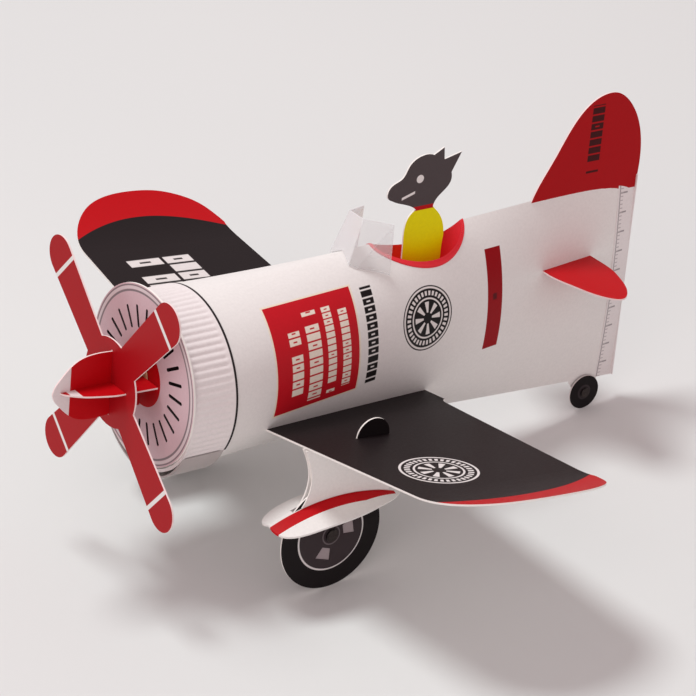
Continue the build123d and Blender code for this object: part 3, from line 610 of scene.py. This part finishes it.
tail_axle, tail_hub_r = (-144.5, -36.5), 2.4
tail_wheel_card, tree, spot = start_card("black_printed_card_tail_wheel")
x, _, z = split_up(tree, spot)
_, _, away = from_centre(tree, x, z, tail_axle)
colour = print_over(tree, ink_black, (band(tree, away, -tail_hub_r, tail_hub_r), linear("#3A3436")),
                    (cut_edge(tree, body_axis["y"]), linear("#CFC8C6")))
finish_card(tree, spot, colour, 0.8)
dress(tail_wheel_card, "tail_wheel")
bracket_card, tree, spot = start_card("white_card_bracket")
finish_card(tree, spot, card_white)
dress(bracket_card, "tail_wheel_bracket")

# Blackened brass pins: dark satin metal, worn paler where fingers turn them.
pin_brass, tree, spot = start_card("blackened_brass_pin")
wear = add(tree, "TexNoise", {"Vector": spot, "Scale": 1.6, "Detail": 4.0})
colour = add(tree, "Mix", {0: wear, 6: linear("#2E2A2B"), 7: linear("#5A5350")}, out=2,
             data_type="RGBA")
rough = add(tree, "MapRange", {"Value": wear, "To Min": 0.3, "To Max": 0.55})
pin_surface = add(tree, "BsdfPrincipled", {"Base Color": colour, "Metallic": 1.0, "Roughness": rough})
add(tree, "OutputMaterial", {"Surface": pin_surface}, out=None)
dress(pin_brass, "axle_pin_left", "axle_pin_right", "tail_axle_pin")

# ------------------------------------------------------------------ tail surfaces
# A red fin and a red tailplane, each one card pushed into a slot in the tube. The
# fin has a dark printed column near its back edge.
column_low, column_high, column_rear, column_front, column_pitch = 36.5, 58.0, -140.0, -135.5, 2.5
fin_card, tree, spot = start_card("red_printed_card_fin")
x, _, z = split_up(tree, spot)
column = block_row(tree, z, x, column_low, column_high, column_rear, column_front, column_pitch, 5.0)
colour = print_over(tree, linear("#AE000B"), (column, linear("#40080C")),
                    (cut_edge(tree, body_axis["y"]), red_card_edge))
finish_card(tree, spot, colour, 1.0)
dress(fin_card, "fin")
tailplane_card, tree, spot = start_card("red_printed_card_tailplane")
colour = print_over(tree, ink_red, (cut_edge(tree, body_axis["z"]), red_card_edge))
finish_card(tree, spot, colour, 1.0)
dress(tailplane_card, "stabiliser")

# ------------------------------------------------------------------ cockpit
# A red-lined oval tub dropped into the hole in the tube, with a thin red rim
# printed round it, and a windscreen folded from one clear sheet.
cockpit_card, tree, spot = start_card("red_lined_card_cockpit")
finish_card(tree, spot, linear("#EA3640"), 1.0)
dress(cockpit_card, "cockpit_tub", "cockpit_rim")

# Clear acetate sheet: glossy, with faint haze, and more opaque and whiter where it is seen at a slant,
# which is a painted reflection standing in for the sheet's bright sheen.
acetate = bpy.data.materials.new("clear_acetate_sheet")
acetate.use_nodes = True
tree = acetate.node_tree
tree.nodes.clear()
haze = add(tree, "TexNoise", {"Vector": add(tree, "TexCoord", out="Object"), "Scale": 70.0,
                              "Detail": 1.0})
haze_rough = add(tree, "MapRange", {"Value": haze, "To Min": 0.02, "To Max": 0.07})
# Opacity rising at a slant is painted reflection on the white sheet.
slant_painted_reflection = add(tree, "LayerWeight", {"Blend": 0.4}, out="Facing")
cover = add(tree, "MapRange", {"Value": slant_painted_reflection, "From Min": 0.1, "From Max": 0.8, "To Min": 0.2,
                               "To Max": 0.8})
cover = add(tree, "Math", {0: haze, 1: 0.1, 2: cover}, operation="MULTIPLY_ADD")
sheet_surface = add(tree, "BsdfPrincipled", {"Base Color": linear("#F7F9FA"), "IOR": 1.47,
                                             "Roughness": haze_rough, "Alpha": cover})
add(tree, "OutputMaterial", {"Surface": sheet_surface}, out=None)
dress(acetate, "windshield")

# ------------------------------------------------------------------ pilot
# A flat card dog in profile: dark grey head with a white eye and mouth, a red
# collar and a yellow jersey, printed alike on both sides.
eye_centre, eye_r = (-74.4, 45.5), 1.25
mouth_slope, mouth_low, mouth_high, mouth_rear, mouth_front = 0.3, 19.3, 20.1, -73.0, -68.5
jersey_low, jersey_high, collar_low, collar_high = -40.0, 36.0, 35.7, 37.0
pilot_card, tree, spot = start_card("printed_card_pilot")
x, _, z = split_up(tree, spot)
_, _, away = from_centre(tree, x, z, eye_centre)
eye = band(tree, away, -eye_r, eye_r)
mouth_line = add(tree, "Math", {0: x, 1: mouth_slope, 2: z}, operation="MULTIPLY_ADD")
mouth = overlap(tree, band(tree, mouth_line, mouth_low, mouth_high),
                band(tree, x, mouth_rear, mouth_front))
jersey = band(tree, z, jersey_low, jersey_high)
collar = band(tree, z, collar_low, collar_high)
colour = print_over(tree, linear("#524A4B"), (jersey, linear("#F2EA00")), (collar, ink_red),
                    (together(tree, eye, mouth), linear("#F0EDEA")),
                    (cut_edge(tree, body_axis["y"]), card_core))
finish_card(tree, spot, colour, 0.8)
dress(pilot_card, "pilot")
